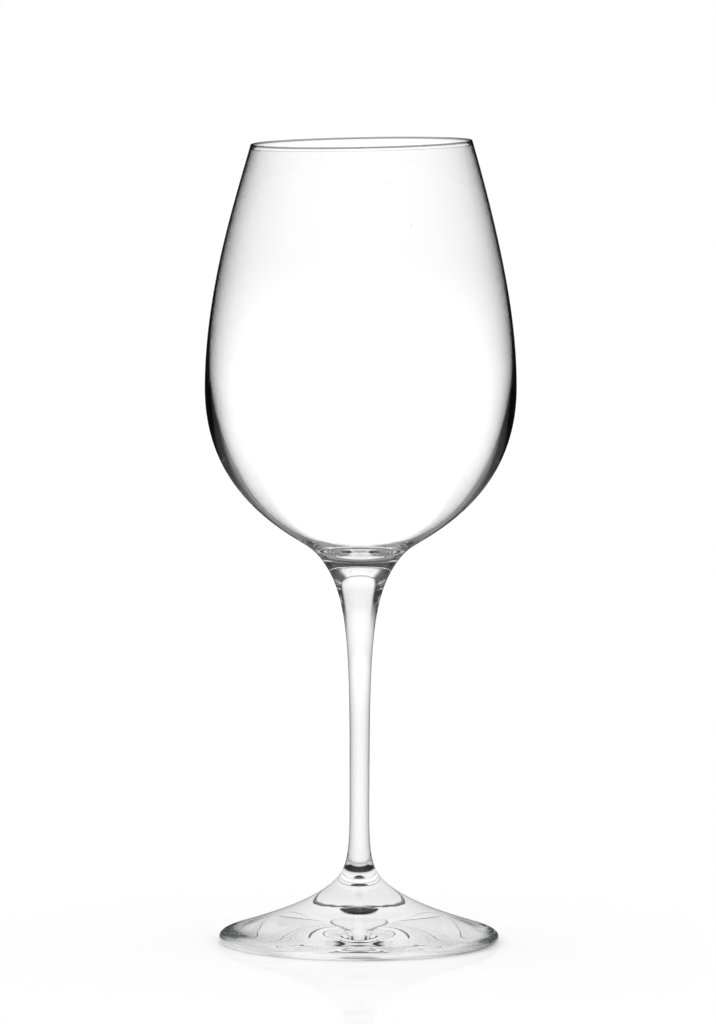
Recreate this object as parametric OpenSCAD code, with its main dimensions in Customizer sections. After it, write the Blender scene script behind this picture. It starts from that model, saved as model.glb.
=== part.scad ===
// Stemmed wine glass: a blown bowl, a drawn stem and a pressed foot, welded end to end.
// Each piece is turned about the glass's axis, which is +Z. The origin is the middle of the
// table plane under the foot. An outline point is [radius, height].

/* [Glass] */
// Height from the table to the lip
glass_h = 225; // [218:1:240]

/* [Bowl outside] */
// Outside diameter of the lip
lip_d = 62; // [58:0.5:68]
// Lean of the wall at the lip, from the vertical
lip_lean = 16.3; // [10:0.1:20]
// Widest outside diameter of the bowl
bowl_d = 87.3; // [84:0.1:92]
// Height of the widest ring above the table
bowl_wide_z = 156.3; // [150:0.1:162]
// Diameter where the bowl's round turns into the flare of the stem
turn_d = 36.8; // [32:0.1:40]
// Height of that turn above the table
turn_z = 114; // [112:0.1:116]
// Lean of the outline at the turn, from the vertical
turn_lean = 58; // [50:0.5:64]

/* [Bowl inside] */
// Wall at the lip
lip_wall = 0.6; // [0.5:0.05:1.2]
// Wall at the widest ring of the cavity
wide_wall = 1.05; // [0.8:0.05:1.6]
// Height of the widest ring of the cavity above the table
cavity_wide_z = 161.5; // [156:0.1:166]
// Height of the cavity's floor above the table
cavity_floor_z = 110.2; // [109:0.1:113]

/* [Stem] */
// Height of the weld between the bowl and the stem
upper_weld_z = 106; // [104:0.1:108]
// Diameter at that weld
upper_weld_d = 19; // [17:0.1:21]
// Lean of the flare at that weld, from the vertical
upper_weld_lean = 32.3; // [25:0.1:40]
// Diameter of the stem where it is thinnest
stem_d = 5.58; // [5:0.01:8]
// Height of the thinnest ring above the table
stem_thin_z = 44.8; // [40:0.1:55]
// Height of the weld between the stem and the foot
lower_weld_z = 20.75; // [19:0.05:23]
// Diameter at that weld
lower_weld_d = 9; // [8:0.1:11]
// Lean of the flare at that weld, from the vertical
lower_weld_lean = 23.3; // [15:0.1:30]

/* [Foot] */
// Outside diameter of the foot
foot_d = 78.9; // [76:0.1:82]
// Height of the foot's widest ring above the table
foot_edge_z = 1.4; // [1.2:0.05:2]
// Diameter where the cone of the foot rounds over to its edge
shoulder_d = 66.9; // [62:0.1:70]
// Height of that shoulder above the table
shoulder_z = 4.85; // [4:0.05:5.5]
// Lean of the cone at the shoulder, from the vertical
shoulder_lean = 72.5; // [68:0.5:80]
// Width of the flat ring that rests on the table
rest_w = 2.4; // [1.5:0.1:4]
// Rise of the shallow hollow under the foot
hollow_h = 1.5; // [0.8:0.1:2.5]

/* [Hidden] */
$fn = 128;

curve_steps = 30; // chords along each free curve
arc_steps = 10;   // chords along each small round

lip_r = lip_d / 2;
bowl_r = bowl_d / 2;
upper_weld_r = upper_weld_d / 2;
lower_weld_r = lower_weld_d / 2;
stem_r = stem_d / 2;
foot_r = foot_d / 2;
cavity_r = bowl_r - wide_wall;
rest_outer_r = foot_r - foot_edge_z;
rest_inner_r = rest_outer_r - rest_w;

// Pulls: how far a curve runs along its end direction before it bends away.
lip_pull = 22.8;
wide_pull_up = 22.9;
wide_pull_down = 23.6;
turn_pull_up = 13.1;
turn_pull_down = 4.3;
upper_weld_pull_up = 5.9;
upper_weld_pull_down = 11.6;
stem_pull_up = 36.5;
stem_pull_down = 11.2;
lower_weld_pull_up = 5.1;
lower_weld_pull_down = 8.8;
shoulder_pull_up = 7.4;
shoulder_pull_down = 2.7;
edge_pull = 1.85;
cavity_lip_pull = 10.6;
cavity_pull_up = 24.2;
cavity_pull_down = 31.8;
cavity_floor_pull = 17;
hollow_pull = 16;

glass_tint = [0.93, 0.96, 0.97, 0.45];

// Unit step down the glass, leaning outward from the vertical by an angle.
function down(lean) = [sin(lean), -cos(lean)];

// Point at t along the cubic curve with ends a, d and handles b, c.
function cubic(a, b, c, d, t) =
    pow(1 - t, 3) * a + 3 * pow(1 - t, 2) * t * b + 3 * (1 - t) * t * t * c + pow(t, 3) * d;

// Curve from start to end, leaving and arriving along the two leans. The first point is left
// out, so that curves can be joined end to end.
function curve(start, start_lean, start_pull, end, end_lean, end_pull) =
    [for (i = [1:curve_steps])
        cubic(start, start + start_pull * down(start_lean),
              end - end_pull * down(end_lean), end, i / curve_steps)];

// Round from one angle to another about a centre, both ends included.
function round_edge(centre, r, from, to) =
    [for (i = [0:arc_steps])
        let (a = from + (to - from) * i / arc_steps) centre + r * [cos(a), sin(a)]];

function backwards(points) = [for (i = [len(points) - 1:-1:0]) points[i]];

lip_outer = [lip_r, glass_h - lip_wall / 2];
lip_inner = [lip_r - lip_wall, glass_h - lip_wall / 2];
bowl_wide = [bowl_r, bowl_wide_z];
turn = [turn_d / 2, turn_z];
upper_weld = [upper_weld_r, upper_weld_z];
stem_thin = [stem_r, stem_thin_z];
lower_weld = [lower_weld_r, lower_weld_z];
shoulder = [shoulder_d / 2, shoulder_z];
foot_edge = [foot_r, foot_edge_z];
cavity_wide = [cavity_r, cavity_wide_z];
cavity_floor = [0, cavity_floor_z];

function bowl_outside() = concat(
    curve(lip_outer, lip_lean, lip_pull, bowl_wide, 0, wide_pull_up),
    curve(bowl_wide, 0, wide_pull_down, turn, -turn_lean, turn_pull_up),
    curve(turn, -turn_lean, turn_pull_down, upper_weld, -upper_weld_lean, upper_weld_pull_up));

function bowl_inside() = concat(
    curve(lip_inner, lip_lean, cavity_lip_pull, cavity_wide, 0, cavity_pull_up),
    curve(cavity_wide, 0, cavity_pull_down, cavity_floor, -90, cavity_floor_pull));

module bowl() {
    color(glass_tint)
        rotate_extrude()
            polygon(concat(
                bowl_outside(),
                [[0, upper_weld_z]],
                backwards(bowl_inside()),
                backwards(round_edge([lip_r - lip_wall / 2, glass_h - lip_wall / 2],
                                     lip_wall / 2, 0, 180))));
}

module stem() {
    color(glass_tint)
        rotate_extrude()
            polygon(concat(
                [[0, upper_weld_z], upper_weld],
                curve(upper_weld, -upper_weld_lean, upper_weld_pull_down,
                      stem_thin, 0, stem_pull_up),
                curve(stem_thin, 0, stem_pull_down,
                      lower_weld, lower_weld_lean, lower_weld_pull_up),
                [[0, lower_weld_z]]));
}

module foot() {
    color(glass_tint)
        rotate_extrude()
            polygon(concat(
                [[0, lower_weld_z], lower_weld],
                curve(lower_weld, lower_weld_lean, lower_weld_pull_down,
                      shoulder, shoulder_lean, shoulder_pull_up),
                curve(shoulder, shoulder_lean, shoulder_pull_down, foot_edge, 0, edge_pull),
                round_edge([rest_outer_r, foot_edge_z], foot_edge_z, 0, -90),
                [[rest_inner_r, 0]],
                curve([rest_inner_r, 0], -90, hollow_pull,
                      [0, hollow_h], -90, hollow_pull)));
}

bowl();
stem();
foot();
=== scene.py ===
"""Builds the look of a stemmed wine glass: bowl, stem and foot in clear glass, on a studio floor."""

import math

import bpy
from bpy.props import FloatProperty, FloatVectorProperty, IntProperty, PointerProperty
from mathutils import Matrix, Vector


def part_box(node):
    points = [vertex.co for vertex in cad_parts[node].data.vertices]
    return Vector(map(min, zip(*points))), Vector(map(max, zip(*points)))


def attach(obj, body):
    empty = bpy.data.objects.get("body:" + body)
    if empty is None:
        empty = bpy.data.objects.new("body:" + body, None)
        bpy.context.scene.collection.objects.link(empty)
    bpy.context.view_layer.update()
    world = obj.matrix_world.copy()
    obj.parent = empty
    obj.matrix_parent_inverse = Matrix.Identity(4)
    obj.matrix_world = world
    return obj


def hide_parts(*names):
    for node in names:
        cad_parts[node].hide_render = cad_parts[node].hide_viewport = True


bl_info = {
    "name": "Stemmed wine glass",
    "version": (1, 0, 0),
    "blender": (4, 5, 0),
    "location": "3D View > Sidebar > Wine Glass",
    "description": "Spins the bowl, stem and foot of a wine glass and lays out its studio",
    "category": "Object",
}

MM = 0.001

ON_AXIS = 0.0001 * MM         # a point nearer the axis than this is on it
SAME_POINT = 0.000001 * MM    # two points nearer each other than this are one

# Pulls: how far a curve runs along its end direction before it bends away.
LIP_PULL = 22.8 * MM
WIDE_PULL_UP = 22.9 * MM
WIDE_PULL_DOWN = 23.6 * MM
TURN_PULL_UP = 13.1 * MM
TURN_PULL_DOWN = 4.3 * MM
UPPER_WELD_PULL_UP = 5.9 * MM
UPPER_WELD_PULL_DOWN = 11.6 * MM
THIN_PULL_UP = 36.5 * MM
THIN_PULL_DOWN = 11.2 * MM
LOWER_WELD_PULL_UP = 5.1 * MM
LOWER_WELD_PULL_DOWN = 8.8 * MM
SHOULDER_PULL_UP = 7.4 * MM
SHOULDER_PULL_DOWN = 2.7 * MM
EDGE_PULL = 1.85 * MM
CAVITY_LIP_PULL = 10.6 * MM
CAVITY_PULL_UP = 24.2 * MM
CAVITY_PULL_DOWN = 31.8 * MM
CAVITY_FLOOR_PULL = 17 * MM
HOLLOW_PULL = 16 * MM

TILT_FADE = 35 * MM      # depth below the lip at which its tilt has died away
LIP_DEPTH = 0.5 * MM     # depth of the lip's painted shade
SEED_PLACES = 150        # places for a seed, per metre
SEED_RADIUS = 0.05       # radius of a seed, as a share of its place
SEED_GREY = 0.25
STREAK_PLACES = 25       # streaks of painted shade per metre across the glass
STREAK_SQUASH = 14       # how many times finer they are upright

SHEET_REACH = 6.0        # radius of the studio sheet, in metres
SHEET_DROP = 0.02 * MM   # how far the sheet lies below the foot
STAGE_AROUND = 96        # corners round the sheet and the reflector

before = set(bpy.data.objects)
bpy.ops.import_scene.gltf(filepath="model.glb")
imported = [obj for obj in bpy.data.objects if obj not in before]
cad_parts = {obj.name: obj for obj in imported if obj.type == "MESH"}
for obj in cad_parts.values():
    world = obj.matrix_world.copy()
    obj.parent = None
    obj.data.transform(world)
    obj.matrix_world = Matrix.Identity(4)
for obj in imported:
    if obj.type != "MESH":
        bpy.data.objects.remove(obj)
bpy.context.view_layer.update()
bowl_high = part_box("bowl")[1]
stem_low, stem_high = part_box("stem")


# ---------------------------------------------------------------- outlines

def heading(lean):
    """Unit step down the glass, leaning outward from the vertical by an angle."""
    return Vector((math.sin(lean), -math.cos(lean)))


def curve(start, start_lean, start_pull, end, end_lean, end_pull, steps):
    """Points and tangents of a cubic that leaves and arrives along two leans."""
    a, d = Vector(start), Vector(end)
    b = a + start_pull * heading(start_lean)
    c = d - end_pull * heading(end_lean)
    out = []
    for i in range(steps + 1):
        t = i / steps
        s = 1 - t
        point = s * s * s * a + 3 * s * s * t * b + 3 * s * t * t * c + t * t * t * d
        tangent = s * s * (b - a) + 2 * s * t * (c - b) + t * t * (d - c)
        out.append((point, tangent.normalized()))
    return out


def arc(centre, radius, start, end, steps):
    """Points and tangents of a round edge, turned clockwise from one angle to another."""
    out = []
    for i in range(steps + 1):
        angle = start + (end - start) * i / steps
        spoke = Vector((math.cos(angle), math.sin(angle)))
        out.append((Vector(centre) + radius * spoke, Vector((spoke.y, -spoke.x))))
    return out


def flat(start, end):
    """Two points of a straight stretch with their tangent."""
    step = (Vector(end) - Vector(start)).normalized()
    return [(Vector(start), step), (Vector(end), step)]


def rippled(outline, wave, depth, reach):
    """The same outline with fine rings left by the press, which die away from the axis."""
    out = []
    for point, tangent in outline:
        share = max(1 - (point.x / reach) ** 2, 0)
        phase = 2 * math.pi * point.x / wave
        rise = depth * share ** 2 * math.cos(phase)
        slope = -depth * share * (share * math.sin(phase) * 2 * math.pi / wave
                                  + math.cos(phase) * 4 * point.x / reach ** 2)
        step = Vector((tangent.x, tangent.y + slope * tangent.x)).normalized()
        out.append((Vector((point.x, point.y + rise)), step))
    return out


def joined(*stretches):
    """One outline from stretches that meet smoothly, each shared point kept once."""
    outline = list(stretches[0])
    for stretch in stretches[1:]:
        outline += stretch[1:]
    return outline


# ---------------------------------------------------------------- spinning

def ring_of(vertices, point, around):
    """Adds a ring of vertices, or one on the axis, and returns their numbers."""
    first = len(vertices)
    if point.x < ON_AXIS:
        vertices.append((0.0, 0.0, point.y))
        return [first] * around
    for k in range(around):
        turn = 2 * math.pi * k / around
        vertices.append((point.x * math.cos(turn), point.x * math.sin(turn), point.y))
    return list(range(first, first + around))


def spun(name, stretches, around):
    """A closed piece spun about Z. Each stretch is (outline, material number, smooth)."""
    vertices, faces, numbers, normals = [], [], [], []
    first_outline = stretches[0][0]
    start = first_outline[0][0]
    last_ring, first_ring, last_point = None, None, None
    for outline, number, smooth in stretches:
        rings = []
        for point, _ in outline:
            if last_point is not None and (point - last_point).length < SAME_POINT:
                rings.append(last_ring)
            elif first_ring and (point - start).length < SAME_POINT:
                rings.append(first_ring)
            else:
                rings.append(ring_of(vertices, point, around))
            last_ring, last_point = rings[-1], point
            first_ring = first_ring or last_ring
        for i in range(len(rings) - 1):
            for k in range(around):
                j = (k + 1) % around
                corners = [(i, k), (i + 1, k), (i + 1, j), (i, j)]
                kept = []
                for row, column in corners:
                    if rings[row][column] not in [v for v, _, _ in kept]:
                        kept.append((rings[row][column], row, column))
                faces.append([v for v, _, _ in kept])
                numbers.append(number)
                for _, row, column in kept:
                    tangent = outline[row][1] if smooth else outline[0][1]
                    turn = 2 * math.pi * column / around
                    across = -tangent.y
                    normals.append((across * math.cos(turn), across * math.sin(turn), tangent.x))
    mesh = bpy.data.meshes.new(name)
    mesh.from_pydata(vertices, [], faces)
    mesh.polygons.foreach_set("material_index", numbers)
    mesh.shade_smooth()
    mesh.normals_split_custom_set(normals)
    mesh.update()
    piece = bpy.data.objects.new(name, mesh)
    bpy.context.collection.objects.link(piece)
    return piece


# ---------------------------------------------------------------- nodes

def feed(tree, slots, values):
    """Links sockets, and writes plain numbers, into a node's slots in order."""
    for slot, value in zip(slots, values):
        if hasattr(value, "links"):
            tree.links.new(value, slot)
        else:
            slot.default_value = value


def node_maths(tree, operation, *values, clamp=False):
    """A Math node fed by sockets or plain numbers."""
    node = tree.nodes.new("ShaderNodeMath")
    node.operation = operation
    node.use_clamp = clamp
    feed(tree, node.inputs, values)
    return node.outputs[0]


def mixed(tree, factor, a, b):
    """A blend from a to b, each a socket or a plain grey."""
    node = tree.nodes.new("ShaderNodeMix")
    feed(tree, (node.inputs[0], node.inputs[2], node.inputs[3]), (factor, a, b))
    return node.outputs[0]


def ramp(tree, source, stops):
    """A grey ramp: stops are (place, brightness)."""
    node = tree.nodes.new("ShaderNodeValToRGB")
    tree.links.new(source, node.inputs[0])
    elements = node.color_ramp.elements
    while len(elements) < len(stops):
        elements.new(0.5)
    for element, (stop, grey) in zip(elements, stops):
        element.position = stop
        element.color = (grey, grey, grey, 1)
    return node.outputs[0]


def own_place(tree):
    """Place in the object's own frame, as a vector."""
    return tree.nodes.new("ShaderNodeTexCoord").outputs["Object"]


def axes_of(tree, vector):
    """The X, Y and Z of a vector, by name."""
    node = tree.nodes.new("ShaderNodeSeparateXYZ")
    tree.links.new(vector, node.inputs[0])
    return node.outputs


def distance_out(tree):
    """Distance from the middle of the object."""
    node = tree.nodes.new("ShaderNodeVectorMath")
    node.operation = "LENGTH"
    tree.links.new(own_place(tree), node.inputs[0])
    return node.outputs["Value"]


def shader_blend(tree, factor, a, b):
    """A blend from shader a to shader b."""
    node = tree.nodes.new("ShaderNodeMixShader")
    feed(tree, node.inputs, (factor, a, b))
    return node.outputs[0]


def bare_material(name):
    """A new material, its node tree and its surface socket, which is still empty."""
    material = bpy.data.materials.new(name)
    material.use_nodes = True
    tree = material.node_tree
    tree.nodes.clear()
    return material, tree, tree.nodes.new("ShaderNodeOutputMaterial").inputs["Surface"]


# ---------------------------------------------------------------- glass

def weld_clear():
    """The hidden face where two pieces are fused: light passes it unbent."""
    material = bpy.data.materials.get("fused_weld")
    if not material:
        material, tree, surface = bare_material("fused_weld")
        tree.links.new(tree.nodes.new("ShaderNodeBsdfTransparent").outputs[0], surface)
    return material


def painted_low_shade(tree, where, facing, band, body, edge):
    """Painted shade on a piece's low part: even, with streaks where it is seen edge on.

    It is full at the first height of the band and gone at the second.
    """
    below = tree.nodes.new("ShaderNodeMapRange")
    below.interpolation_type = "SMOOTHSTEP"
    below.inputs["From Min"].default_value = band[1]
    below.inputs["From Max"].default_value = band[0]
    tree.links.new(axes_of(tree, where)["Z"], below.inputs["Value"])
    squash = tree.nodes.new("ShaderNodeMapping")
    squash.inputs["Scale"].default_value = (1, 1, STREAK_SQUASH)
    tree.links.new(where, squash.inputs["Vector"])
    streaks = tree.nodes.new("ShaderNodeTexNoise")
    streaks.inputs["Scale"].default_value = STREAK_PLACES
    tree.links.new(squash.outputs[0], streaks.inputs["Vector"])
    streaky = ramp(tree, streaks.outputs[0], [(0.45, 0.05), (0.6, 1.0)])
    grey = node_maths(tree, "MULTIPLY", facing, streaky)
    grey = node_maths(tree, "MULTIPLY_ADD", grey, edge, body)
    return node_maths(tree, "MULTIPLY", grey, below.outputs["Result"])


def painted_lip_shade(tree, where, finish):
    """Painted shade on the polished lip, down to a plane that leans with it."""
    axes = axes_of(tree, where)
    level = node_maths(tree, "MULTIPLY_ADD", axes["X"], -math.tan(finish.lip_tilt), axes["Z"])
    at_lip = node_maths(tree, "GREATER_THAN", level, bowl_high.z - LIP_DEPTH)
    return node_maths(tree, "MULTIPLY", at_lip, finish.lip_shade)


def seed_greying(tree, where, share):
    """Grey of the fine seeds, which a share of the places in the glass hold."""
    cells = tree.nodes.new("ShaderNodeTexVoronoi")
    cells.inputs["Scale"].default_value = SEED_PLACES
    tree.links.new(where, cells.inputs["Vector"])
    dot = node_maths(tree, "LESS_THAN", cells.outputs["Distance"], SEED_RADIUS)
    draw = tree.nodes.new("ShaderNodeSeparateColor")
    tree.links.new(cells.outputs["Color"], draw.inputs[0])
    chosen = node_maths(tree, "LESS_THAN", draw.outputs[0], share)
    return node_maths(tree, "MULTIPLY", node_maths(tree, "MULTIPLY", dot, chosen), SEED_GREY)


def glass_with_painted_shade(name, finish, edge_shade, shaded_lip=False, low=None):
    """Clear glass with painted shade: greyed where it is seen edge on, at its lip and in its low
    part.

    low holds the band, body and edge that painted_low_shade takes.
    """
    material = bpy.data.materials.new(name)
    material.use_nodes = True
    tree = material.node_tree
    glass = tree.nodes["Principled BSDF"]
    glass.inputs["Transmission Weight"].default_value = 1.0
    glass.inputs["IOR"].default_value = finish.ior
    glass.inputs["Roughness"].default_value = 0.0

    where = own_place(tree)
    # Painted shade: the colour greys where the surface is seen edge on, whatever the light.
    weight = tree.nodes.new("ShaderNodeLayerWeight")
    weight.inputs["Blend"].default_value = 0.5
    facing = weight.outputs["Facing"]
    grey = node_maths(tree, "MULTIPLY", facing, edge_shade)
    if low:
        grey = node_maths(tree, "ADD", grey, painted_low_shade(tree, where, facing, **low), clamp=True)
    if shaded_lip:
        grey = node_maths(tree, "MAXIMUM", grey, painted_lip_shade(tree, where, finish))
    grey = node_maths(tree, "MAXIMUM", grey, seed_greying(tree, where, finish.seeds))

    tint = tree.nodes.new("ShaderNodeMix")
    tint.data_type = "RGBA"
    clear_colour, shade_and_seed_colour = tint.inputs[6], tint.inputs[7]
    tree.links.new(grey, tint.inputs[0])
    clear_colour.default_value = (1, 1, 1, 1)
    shade_and_seed_colour.default_value = (*finish.shade_and_seed_tint, 1)
    tree.links.new(tint.outputs[2], glass.inputs["Base Color"])
    return material


# ---------------------------------------------------------------- sizes

class GlassFinish(bpy.types.PropertyGroup):
    """The glass itself, and the shade painted into its colour."""

    ior: FloatProperty(name="IOR", description="How strongly the glass bends light", default=1.52)
    # Painted shade: the colour the glass greys towards edge on, at the lip and in the low parts; the
    # seeds share it.
    shade_and_seed_tint: FloatVectorProperty(
        name="Edge tint", description="Colour of the glass where it is seen edge on",
        subtype="COLOR", default=(0.02, 0.022, 0.022), min=0, max=1)
    seeds: FloatProperty(
        name="Seeds", description="Share of places in the glass that hold a fine seed",
        default=0.3)
    # Painted shade: how dark the lip is painted.
    lip_shade: FloatProperty(
        name="Lip grey", description="How far the polished lip greys the light", default=0.7)
    lip_tilt: FloatProperty(
        name="Lip tilt", description="Lean of the lip's plane across the glass",
        subtype="ANGLE", default=math.radians(1.3))
    around: IntProperty(name="Steps around", description="Faces around each piece", default=192)


class BowlSizes(bpy.types.PropertyGroup):
    """The blown bowl."""

    lip_diameter: FloatProperty(
        name="Lip diameter", description="Outside diameter at the lip",
        unit="LENGTH", default=62 * MM)
    lip_lean: FloatProperty(
        name="Lip lean", description="Lean of the wall at the lip from the vertical",
        subtype="ANGLE", default=math.radians(16.3))
    lip_wall: FloatProperty(
        name="Lip wall", description="Wall at the lip", unit="LENGTH", default=0.6 * MM)
    wide_diameter: FloatProperty(
        name="Widest diameter", description="Widest outside diameter of the bowl",
        unit="LENGTH", default=87.3 * MM)
    wide_height: FloatProperty(
        name="Widest height", description="Height of the widest ring above the table",
        unit="LENGTH", default=156.3 * MM)
    turn_diameter: FloatProperty(
        name="Turn diameter", description="Diameter where the round turns into the stem's flare",
        unit="LENGTH", default=36.8 * MM)
    turn_height: FloatProperty(
        name="Turn height", description="Height of that turn above the table",
        unit="LENGTH", default=114 * MM)
    turn_lean: FloatProperty(
        name="Turn lean", description="Lean of the outline at the turn",
        subtype="ANGLE", default=math.radians(58))
    cavity_wall: FloatProperty(
        name="Widest wall", description="Wall at the widest ring of the cavity",
        unit="LENGTH", default=1.05 * MM)
    cavity_height: FloatProperty(
        name="Cavity height", description="Height of the widest ring of the cavity",
        unit="LENGTH", default=161.5 * MM)
    cavity_floor: FloatProperty(
        name="Cavity floor", description="Height of the cavity's floor above the table",
        unit="LENGTH", default=110.2 * MM)


class StemSizes(bpy.types.PropertyGroup):
    """The drawn stem."""

    upper_weld_diameter: FloatProperty(
        name="Upper weld diameter", description="Diameter where the stem meets the bowl",
        unit="LENGTH", default=19 * MM)
    upper_weld_lean: FloatProperty(
        name="Upper weld lean", description="Lean of the flare at the upper weld",
        subtype="ANGLE", default=math.radians(32.3))
    thin_diameter: FloatProperty(
        name="Thinnest diameter", description="Diameter of the stem where it is thinnest",
        unit="LENGTH", default=5.58 * MM)
    thin_height: FloatProperty(
        name="Thinnest height", description="Height of the thinnest ring above the table",
        unit="LENGTH", default=44.8 * MM)
    lower_weld_diameter: FloatProperty(
        name="Lower weld diameter", description="Diameter where the stem meets the foot",
        unit="LENGTH", default=9 * MM)
    lower_weld_lean: FloatProperty(
        name="Lower weld lean", description="Lean of the flare at the lower weld",
        subtype="ANGLE", default=math.radians(23.3))


class FootSizes(bpy.types.PropertyGroup):
    """The pressed foot."""

    diameter: FloatProperty(
        name="Diameter", description="Outside diameter of the foot",
        unit="LENGTH", default=78.9 * MM)
    edge_height: FloatProperty(
        name="Edge height", description="Height of the foot's widest ring above the table",
        unit="LENGTH", default=1.4 * MM)
    shoulder_diameter: FloatProperty(
        name="Shoulder diameter", description="Diameter where the cone rounds over to the edge",
        unit="LENGTH", default=66.9 * MM)
    shoulder_height: FloatProperty(
        name="Shoulder height", description="Height of that shoulder above the table",
        unit="LENGTH", default=4.85 * MM)
    shoulder_lean: FloatProperty(
        name="Shoulder lean", description="Lean of the cone at the shoulder",
        subtype="ANGLE", default=math.radians(72.5))
    rest_width: FloatProperty(
        name="Rest width", description="Width of the flat ring that rests on the table",
        unit="LENGTH", default=2.4 * MM)
    hollow_rise: FloatProperty(
        name="Hollow rise", description="Rise of the shallow hollow under the foot",
        unit="LENGTH", default=1.5 * MM)
    ripple_wave: FloatProperty(
        name="Ripple wave", description="Spacing of the fine rings pressed into the hollow",
        unit="LENGTH", default=2.6 * MM)
    ripple_depth: FloatProperty(
        name="Ripple depth", description="Depth of those rings", unit="LENGTH", default=0.003 * MM)
    ripple_reach: FloatProperty(
        name="Ripple reach", description="Radius at which those rings have died away",
        unit="LENGTH", default=16 * MM)


class StudioSettings(bpy.types.PropertyGroup):
    """The floor, the light and the camera."""

    backlight: FloatProperty(
        name="Backlight", description="Strength of the white seen straight through the glass",
        default=1.25)
    glare: FloatProperty(
        name="Glare", description="Strength of the studio as the glass's outside mirrors it",
        default=0.15)
    sheet_glow: FloatProperty(
        name="Sheet glow", description="Glow of the white sheet itself, added to its lit paper",
        default=0.26)
    sheet_near: FloatProperty(
        name="Sheet near glow", description="Glow of the near sheet as it shows through the glass",
        default=0.67)
    sheet_far: FloatProperty(
        name="Sheet far glow", description="Glow of the far sheet as it shows through the glass",
        default=0.37)
    sheet_sheen: FloatProperty(
        name="Sheet sheen", description="Share of the sheet's polish, which mirrors the foot",
        default=0.1)
    slot_turn: FloatProperty(
        name="Slot half turn", description="Half of the angle the dark slot spans behind the foot",
        subtype="ANGLE", default=0.12)
    slot_length: FloatProperty(
        name="Slot half length", description="Half of the length of the dark slot, front to back",
        unit="LENGTH", default=150 * MM)
    slot_middle: FloatProperty(
        name="Slot middle", description="Distance from the glass back to the middle of the slot",
        unit="LENGTH", default=200 * MM)
    reflector_inner: FloatProperty(
        name="Reflector hole", description="Radius of the hole in the reflector round the stem",
        unit="LENGTH", default=40 * MM)
    reflector_outer: FloatProperty(
        name="Reflector radius", description="Outer radius of the reflector",
        unit="LENGTH", default=450 * MM)
    reflector_height: FloatProperty(
        name="Reflector height", description="Height at which the reflector hangs",
        unit="LENGTH", default=30 * MM)
    card_glow: FloatProperty(
        name="Reflector white", description="Brightness of the reflector's underside",
        default=1)
    camera_distance: FloatProperty(
        name="Camera distance", description="Level distance from the glass to the camera",
        unit="LENGTH", default=2.327)
    camera_aside: FloatProperty(
        name="Camera aside", description="How far the camera stands to the left of the glass",
        unit="LENGTH", default=1.3 * MM)
    camera_height: FloatProperty(
        name="Camera height", description="Height of the camera above the table",
        unit="LENGTH", default=0.3281)
    camera_pitch: FloatProperty(
        name="Camera pitch", description="How far the camera looks down",
        subtype="ANGLE", default=math.radians(5.0784))
    camera_roll: FloatProperty(
        name="Camera roll", description="How far the camera leans to its left",
        subtype="ANGLE", default=math.radians(0.178))
    lens: FloatProperty(
        name="Lens", description="Focal length on a 36 mm frame, in millimetres", default=293.15)


# ---------------------------------------------------------------- pieces

def place(piece, node):
    """Puts a spun piece on the glass in place of its CAD node."""
    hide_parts(node)
    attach(piece, "root")


def tilt_lip(piece, tilt):
    """Tilts the bowl's lip, and the wall below it less and less."""
    fade_end = bowl_high.z - TILT_FADE
    for vertex in piece.data.vertices:
        share = min(max((vertex.co.z - fade_end) / TILT_FADE, 0), 1)
        vertex.co.z += vertex.co.x * math.tan(tilt) * share * share * (3 - 2 * share)


class WINEGLASS_OT_bowl(bpy.types.Operator):
    """Spin the bowl, with its cavity and rounded lip"""

    bl_idname = "wineglass.bowl"
    bl_label = "Bowl"

    def execute(self, context):
        bowl, stem = context.scene.wineglass_bowl, context.scene.wineglass_stem
        finish = context.scene.wineglass_finish
        lip_round = bowl.lip_wall / 2
        lip_r, lip_z = bowl.lip_diameter / 2, bowl_high.z - lip_round
        wide = (bowl.wide_diameter / 2, bowl.wide_height)
        turn = (bowl.turn_diameter / 2, bowl.turn_height)
        weld = (stem.upper_weld_diameter / 2, stem_high.z)
        cavity = (wide[0] - bowl.cavity_wall, bowl.cavity_height)
        inside = joined(
            curve((lip_r - bowl.lip_wall, lip_z), bowl.lip_lean, CAVITY_LIP_PULL,
                  cavity, 0, CAVITY_PULL_UP, steps=48),
            curve(cavity, 0, CAVITY_PULL_DOWN,
                  (0, bowl.cavity_floor), -math.pi / 2, CAVITY_FLOOR_PULL, steps=56))
        outside = joined(
            arc((lip_r - lip_round, lip_z), lip_round, math.pi, 0, steps=12),
            curve((lip_r, lip_z), bowl.lip_lean, LIP_PULL, wide, 0, WIDE_PULL_UP, steps=48),
            curve(wide, 0, WIDE_PULL_DOWN, turn, -bowl.turn_lean, TURN_PULL_UP, steps=56),
            curve(turn, -bowl.turn_lean, TURN_PULL_DOWN,
                  weld, -stem.upper_weld_lean, UPPER_WELD_PULL_UP, steps=20))
        upward = [(point, -tangent) for point, tangent in reversed(inside)]
        piece = spun("glass_bowl", [
            (joined(upward, outside), 0, True),
            (flat(weld, (0, stem_high.z)), 1, False)], finish.around)
        tilt_lip(piece, finish.lip_tilt)
        # Painted shade: the bowl greys a little where it is seen edge on, and darker at its lip.
        glass = glass_with_painted_shade("blown_glass", finish, edge_shade=0.07, shaded_lip=True)
        piece.data.materials.append(glass)
        piece.data.materials.append(weld_clear())
        place(piece, "bowl")
        return {"FINISHED"}


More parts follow.
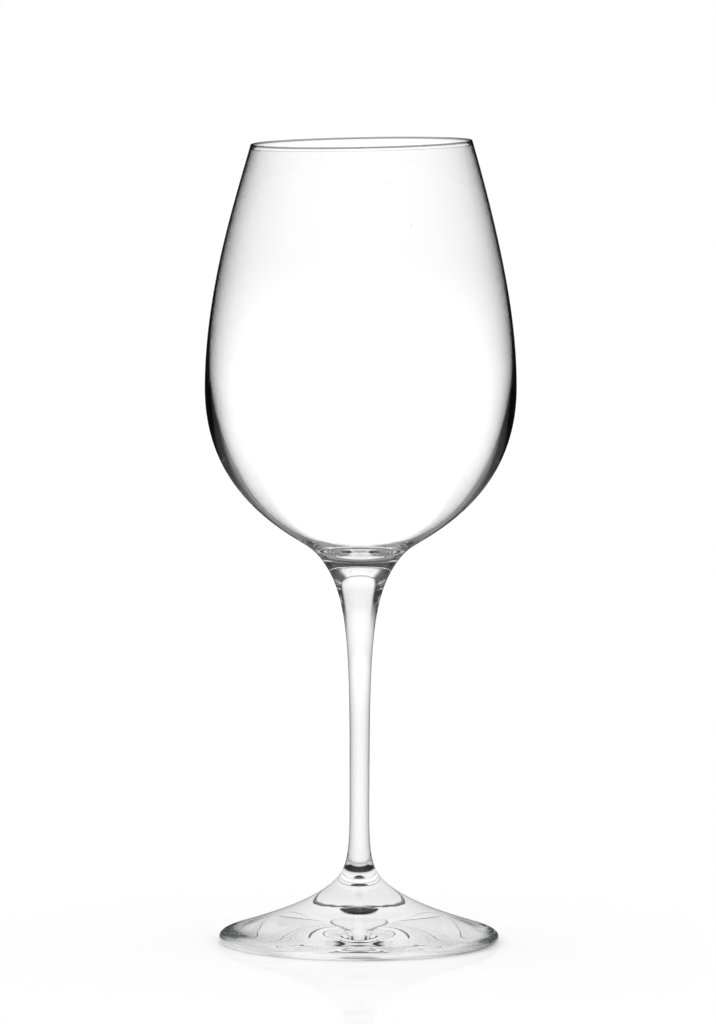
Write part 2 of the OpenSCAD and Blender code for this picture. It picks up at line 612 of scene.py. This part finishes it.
class WINEGLASS_OT_stem(bpy.types.Operator):
    """Spin the stem between its two welds"""

    bl_idname = "wineglass.stem"
    bl_label = "Stem"

    def execute(self, context):
        stem, finish = context.scene.wineglass_stem, context.scene.wineglass_finish
        top = (stem.upper_weld_diameter / 2, stem_high.z)
        thin = (stem.thin_diameter / 2, stem.thin_height)
        base = (stem.lower_weld_diameter / 2, stem_low.z)
        side = joined(
            curve(top, -stem.upper_weld_lean, UPPER_WELD_PULL_DOWN,
                  thin, 0, THIN_PULL_UP, steps=64),
            curve(thin, 0, THIN_PULL_DOWN,
                  base, stem.lower_weld_lean, LOWER_WELD_PULL_UP, steps=40))
        piece = spun("glass_stem", [
            (flat((0, stem_high.z), top), 1, False),
            (side, 0, True),
            (flat(base, (0, stem_low.z)), 1, False)], finish.around)
        # Painted shade: the stem greys strongly at its sides, and evenly below 60 mm, fading out by
        # 95 mm.
        low = {"band": (60 * MM, 95 * MM), "body": 0.3, "edge": 0}
        piece.data.materials.append(glass_with_painted_shade("drawn_glass", finish, edge_shade=0.85, low=low))
        piece.data.materials.append(weld_clear())
        place(piece, "stem")
        return {"FINISHED"}


class WINEGLASS_OT_foot(bpy.types.Operator):
    """Spin the foot, with its cone, edge, resting ring and hollow"""

    bl_idname = "wineglass.foot"
    bl_label = "Foot"

    def execute(self, context):
        foot, stem = context.scene.wineglass_foot, context.scene.wineglass_stem
        finish = context.scene.wineglass_finish
        weld = (stem.lower_weld_diameter / 2, stem_low.z)
        shoulder = (foot.shoulder_diameter / 2, foot.shoulder_height)
        edge = (foot.diameter / 2, foot.edge_height)
        rest_outer = edge[0] - foot.edge_height
        rest_inner = rest_outer - foot.rest_width
        skin = joined(
            curve(weld, stem.lower_weld_lean, LOWER_WELD_PULL_DOWN,
                  shoulder, foot.shoulder_lean, SHOULDER_PULL_UP, steps=72),
            curve(shoulder, foot.shoulder_lean, SHOULDER_PULL_DOWN, edge, 0, EDGE_PULL, steps=32),
            arc((rest_outer, foot.edge_height), foot.edge_height, 0, -math.pi / 2, steps=16),
            flat((rest_outer, 0), (rest_inner, 0)),
            rippled(curve((rest_inner, 0), -math.pi / 2, HOLLOW_PULL,
                          (0, foot.hollow_rise), -math.pi / 2, HOLLOW_PULL, steps=280),
                    foot.ripple_wave, foot.ripple_depth, foot.ripple_reach))
        piece = spun("glass_foot", [
            (flat((0, stem_low.z), weld), 1, False),
            (skin, 0, True)], finish.around)
        # Painted shade: the foot greys a little edge on, and its low edge below 5.5 mm greys with
        # streaks where seen edge on.
        low = {"band": (3.5 * MM, 5.5 * MM), "body": 0.08, "edge": 1.4}
        piece.data.materials.append(glass_with_painted_shade("pressed_glass", finish, edge_shade=0.05, low=low))
        piece.data.materials.append(weld_clear())
        place(piece, "foot")
        return {"FINISHED"}


# ---------------------------------------------------------------- stage

def ray_kinds(tree):
    """Sockets that are 1 for sharply mirrored rays, and for the camera's and soft rays."""
    path = tree.nodes.new("ShaderNodeLightPath")
    bounced = node_maths(tree, "GREATER_THAN", path.outputs["Glossy Depth"], 0.5)
    mirrored = node_maths(tree, "MULTIPLY", bounced, path.outputs["Is Singular Ray"])
    blurred = node_maths(tree, "SUBTRACT", 1.0, path.outputs["Is Singular Ray"])
    soft = node_maths(tree, "MULTIPLY", bounced, blurred)
    soft = node_maths(tree, "MAXIMUM", soft, path.outputs["Is Diffuse Ray"])
    return mirrored, node_maths(tree, "MAXIMUM", soft, path.outputs["Is Camera Ray"])


def through_glass(tree, glare):
    """1 for light that comes out of the glass, and less for glare off its outside."""
    path = tree.nodes.new("ShaderNodeLightPath")
    inside = node_maths(tree, "GREATER_THAN", path.outputs["Transmission Depth"], 0.5)
    return mixed(tree, inside, glare, 1.0)


def rise_of(degrees):
    """Place on a sky ramp of a height in degrees above the horizon."""
    return 0.5 + 0.5 * math.sin(math.radians(degrees))


def turn_of(degrees):
    """Place on a round sky ramp of a turn in degrees from straight behind the glass."""
    return 0.5 + degrees / 360


def sky_behind(tree, rise, turn):
    """Brightness of the backlight, with dark flags at its sides above the table."""
    backlight = ramp(tree, rise, [
        (0.0, 0.93), (rise_of(0), 0.93), (rise_of(8), 0.8), (rise_of(18), 0.8),
        (rise_of(28), 0.98), (rise_of(50), 1.0), (rise_of(70), 0.6)])
    flags = ramp(tree, turn, [
        (turn_of(-80), 1), (turn_of(-72), 0.05), (turn_of(-32), 0.05), (turn_of(-25), 1),
        (turn_of(37), 1), (turn_of(47), 0.06), (turn_of(74), 0.06), (turn_of(82), 1)])
    above_table = ramp(tree, rise, [(rise_of(3), 0), (rise_of(14), 1)])
    return node_maths(tree, "MULTIPLY", backlight, mixed(tree, above_table, 1.0, flags))


def sky_mirrored(tree, axes, rise):
    """Brightness of the strip softbox to light mirrored once, and of its spill to the rest."""
    strip = ramp(tree, node_maths(tree, "ABSOLUTE", axes["X"]), [
        (0.0, 1), (0.42, 1), (0.52, 0.4), (0.6, 0.06), (1, 0.06)])
    overhead = ramp(tree, axes["Z"], [(0.36, 0.02), (0.44, 0.73), (0.78, 0.76), (0.86, 1)])
    softbox = node_maths(tree, "MULTIPLY", strip, overhead)
    spill = ramp(tree, rise, [
        (rise_of(5), 0.03), (rise_of(10), 1), (rise_of(33), 1), (rise_of(40), 0.03)])
    path = tree.nodes.new("ShaderNodeLightPath")
    once = node_maths(tree, "LESS_THAN", path.outputs["Glossy Depth"], 1.5)
    return mixed(tree, once, spill, softbox)


def studio_world(settings):
    """White all round, with a strip softbox overhead and dark flags beside the backlight."""
    world = bpy.data.worlds.new("studio")
    bpy.context.scene.world = world
    world.use_nodes = True
    tree = world.node_tree
    tree.nodes.clear()
    output = tree.nodes.new("ShaderNodeOutputWorld")
    background = tree.nodes.new("ShaderNodeBackground")
    background.inputs["Color"].default_value = (1, 1, 1, 1)
    tree.links.new(background.outputs[0], output.inputs[0])

    axes = axes_of(tree, tree.nodes.new("ShaderNodeTexCoord").outputs["Generated"])
    rise = node_maths(tree, "MULTIPLY_ADD", axes["Z"], 0.5, 0.5)
    turn = node_maths(tree, "ARCTAN2", axes["X"], axes["Y"])
    turn = node_maths(tree, "MULTIPLY_ADD", turn, 1 / (2 * math.pi), 0.5)
    mirrored, plain = ray_kinds(tree)
    in_glass = mixed(tree, mirrored, sky_behind(tree, rise, turn), sky_mirrored(tree, axes, rise))
    in_glass = node_maths(tree, "MULTIPLY", in_glass, settings.backlight)
    in_glass = node_maths(tree, "MULTIPLY", in_glass, through_glass(tree, settings.glare))
    tree.links.new(mixed(tree, plain, in_glass, 1.0), background.inputs["Strength"])


def stage_sheet(name, points, faces, material):
    """A flat stage object."""
    mesh = bpy.data.meshes.new(name)
    mesh.from_pydata(points, [], faces)
    mesh.materials.append(material)
    sheet = bpy.data.objects.new(name, mesh)
    bpy.context.collection.objects.link(sheet)


def stage_ring(radius, height):
    """Corners of a level ring round the glass."""
    turns = [2 * math.pi * k / STAGE_AROUND for k in range(STAGE_AROUND)]
    return [(radius * math.cos(turn), radius * math.sin(turn), height) for turn in turns]


def glow(tree, strength):
    """White light of a strength that is a socket or a plain number."""
    node = tree.nodes.new("ShaderNodeEmission")
    feed(tree, [node.inputs["Strength"]], [strength])
    return node.outputs[0]


def mirrored_table_painted_light(tree):
    """Glow of the table as the glass mirrors it: painted light round the foot, with a painted shadow
    under its middle, and dark further out.

    The stops are at distances from the axis in metres.
    """
    return ramp(tree, distance_out(tree), [
        (0.0, 0.05), (0.012, 0.05), (0.014, 0.98), (0.11, 0.98), (0.17, 0.22),
        (0.3, 0.28), (0.36, 0.28), (0.42, 0.05), (0.6, 0.06), (0.9, 0.01)])


def studio_floor(settings):
    """A white sheet that glows a little and takes the glass's shadow and faint mirror image."""
    material, tree, surface = bare_material("white_sheet")
    mirrored, plain = ray_kinds(tree)
    share_out = node_maths(tree, "MULTIPLY", distance_out(tree), 1 / SHEET_REACH)
    behind_glass = ramp(tree, share_out, [(0.15, settings.sheet_near), (0.5, settings.sheet_far)])
    paper = tree.nodes.new("ShaderNodeBsdfDiffuse")
    paper.inputs["Color"].default_value = (0.8, 0.8, 0.8, 1)
    lit = tree.nodes.new("ShaderNodeAddShader")
    own_glow = glow(tree, mixed(tree, plain, behind_glass, settings.sheet_glow))
    feed(tree, lit.inputs, (paper.outputs[0], own_glow))
    shown = shader_blend(tree, mirrored, lit.outputs[0], glow(tree, mirrored_table_painted_light(tree)))

    sheen = tree.nodes.new("ShaderNodeBsdfGlossy")
    sheen.inputs["Roughness"].default_value = 0.03
    path = tree.nodes.new("ShaderNodeLightPath")
    to_camera = node_maths(tree, "MULTIPLY", path.outputs["Is Camera Ray"], settings.sheet_sheen)
    tree.links.new(shader_blend(tree, to_camera, shown, sheen.outputs[0]), surface)
    rim = stage_ring(SHEET_REACH, -SHEET_DROP)
    stage_sheet("studio_floor", rim, [list(range(STAGE_AROUND))], material)


def low_glowing_card(settings):
    """A card hung low round the foot: its underside glows white as painted light, seen only in
    mirrored light, with a dark slot behind the foot.
    """
    material, tree, surface = bare_material("glowing_card")
    axes = axes_of(tree, own_place(tree))
    across = node_maths(tree, "DIVIDE", axes["X"], axes["Y"])
    across = node_maths(tree, "MULTIPLY", across, 1 / settings.slot_turn)
    along = node_maths(tree, "SUBTRACT", axes["Y"], settings.slot_middle)
    along = node_maths(tree, "MULTIPLY", along, 1 / settings.slot_length)
    from_slot = node_maths(tree, "ADD", node_maths(tree, "MULTIPLY", across, across),
                           node_maths(tree, "MULTIPLY", along, along))
    # Painted light: the underside glows rather than reflects, and is dark in the slot.
    white = ramp(tree, from_slot, [(0.8, 0.0), (1.0, settings.card_glow)])
    white = node_maths(tree, "MULTIPLY", white, through_glass(tree, settings.glare))
    underside = tree.nodes.new("ShaderNodeNewGeometry").outputs["Backfacing"]
    mirrored, _ = ray_kinds(tree)
    clear = tree.nodes.new("ShaderNodeBsdfTransparent").outputs[0]
    seen = node_maths(tree, "MULTIPLY", mirrored, underside)
    tree.links.new(shader_blend(tree, seen, clear, glow(tree, white)), surface)

    inner = stage_ring(settings.reflector_inner, settings.reflector_height)
    outer = stage_ring(settings.reflector_outer, settings.reflector_height)
    points = [point for pair in zip(inner, outer) for point in pair]
    faces = [(2 * k, 2 * k + 1, 2 * j + 1, 2 * j)
             for k in range(STAGE_AROUND) for j in [(k + 1) % STAGE_AROUND]]
    stage_sheet("low_glowing_card", points, faces, material)


def studio_camera(settings):
    """The camera, level with the glass's side and looking slightly down."""
    lens = bpy.data.cameras.new("camera")
    lens.lens = settings.lens
    lens.clip_end = 50    # metres, well past the far edge of the sheet
    camera = bpy.data.objects.new("camera", lens)
    camera.location = (-settings.camera_aside, -settings.camera_distance, settings.camera_height)
    camera.rotation_euler = (math.pi / 2 - settings.camera_pitch, -settings.camera_roll, 0)
    bpy.context.collection.objects.link(camera)
    bpy.context.scene.camera = camera


class WINEGLASS_OT_studio(bpy.types.Operator):
    """Lay out the floor, the light and the camera"""

    bl_idname = "wineglass.studio"
    bl_label = "Studio"

    def execute(self, context):
        settings = context.scene.wineglass_studio
        context.scene.view_settings.view_transform = "Standard"
        # The foot and the flare turn light many times before it comes out.
        context.scene.cycles.glossy_bounces = 20
        context.scene.cycles.transmission_bounces = 24
        context.scene.cycles.max_bounces = 32
        studio_world(settings)
        studio_floor(settings)
        low_glowing_card(settings)
        studio_camera(settings)
        return {"FINISHED"}


# ---------------------------------------------------------------- add-on

class WINEGLASS_PT_panel(bpy.types.Panel):
    """The sidebar panel of the wine glass"""

    bl_idname = "WINEGLASS_PT_panel"
    bl_label = "Wine Glass"
    bl_space_type = "VIEW_3D"
    bl_region_type = "UI"
    bl_category = "Wine Glass"

    def draw(self, context):
        for name in GROUPS:
            group = getattr(context.scene, name)
            column = self.layout.column(align=True)
            for key in group.__annotations__:
                column.prop(group, key)
        for operator in OPERATORS:
            self.layout.operator(operator.bl_idname)


GROUPS = {
    "wineglass_finish": GlassFinish,
    "wineglass_bowl": BowlSizes,
    "wineglass_stem": StemSizes,
    "wineglass_foot": FootSizes,
    "wineglass_studio": StudioSettings,
}
OPERATORS = (WINEGLASS_OT_bowl, WINEGLASS_OT_stem, WINEGLASS_OT_foot, WINEGLASS_OT_studio)


def register():
    for cls in (*GROUPS.values(), *OPERATORS, WINEGLASS_PT_panel):
        bpy.utils.register_class(cls)
    for name, cls in GROUPS.items():
        setattr(bpy.types.Scene, name, PointerProperty(type=cls))


def unregister():
    for name in GROUPS:
        delattr(bpy.types.Scene, name)
    for cls in reversed((*GROUPS.values(), *OPERATORS, WINEGLASS_PT_panel)):
        bpy.utils.unregister_class(cls)


def main():
    register()
    bpy.ops.wineglass.bowl()
    bpy.ops.wineglass.stem()
    bpy.ops.wineglass.foot()
    bpy.ops.wineglass.studio()


if __name__ == "__main__":
    main()
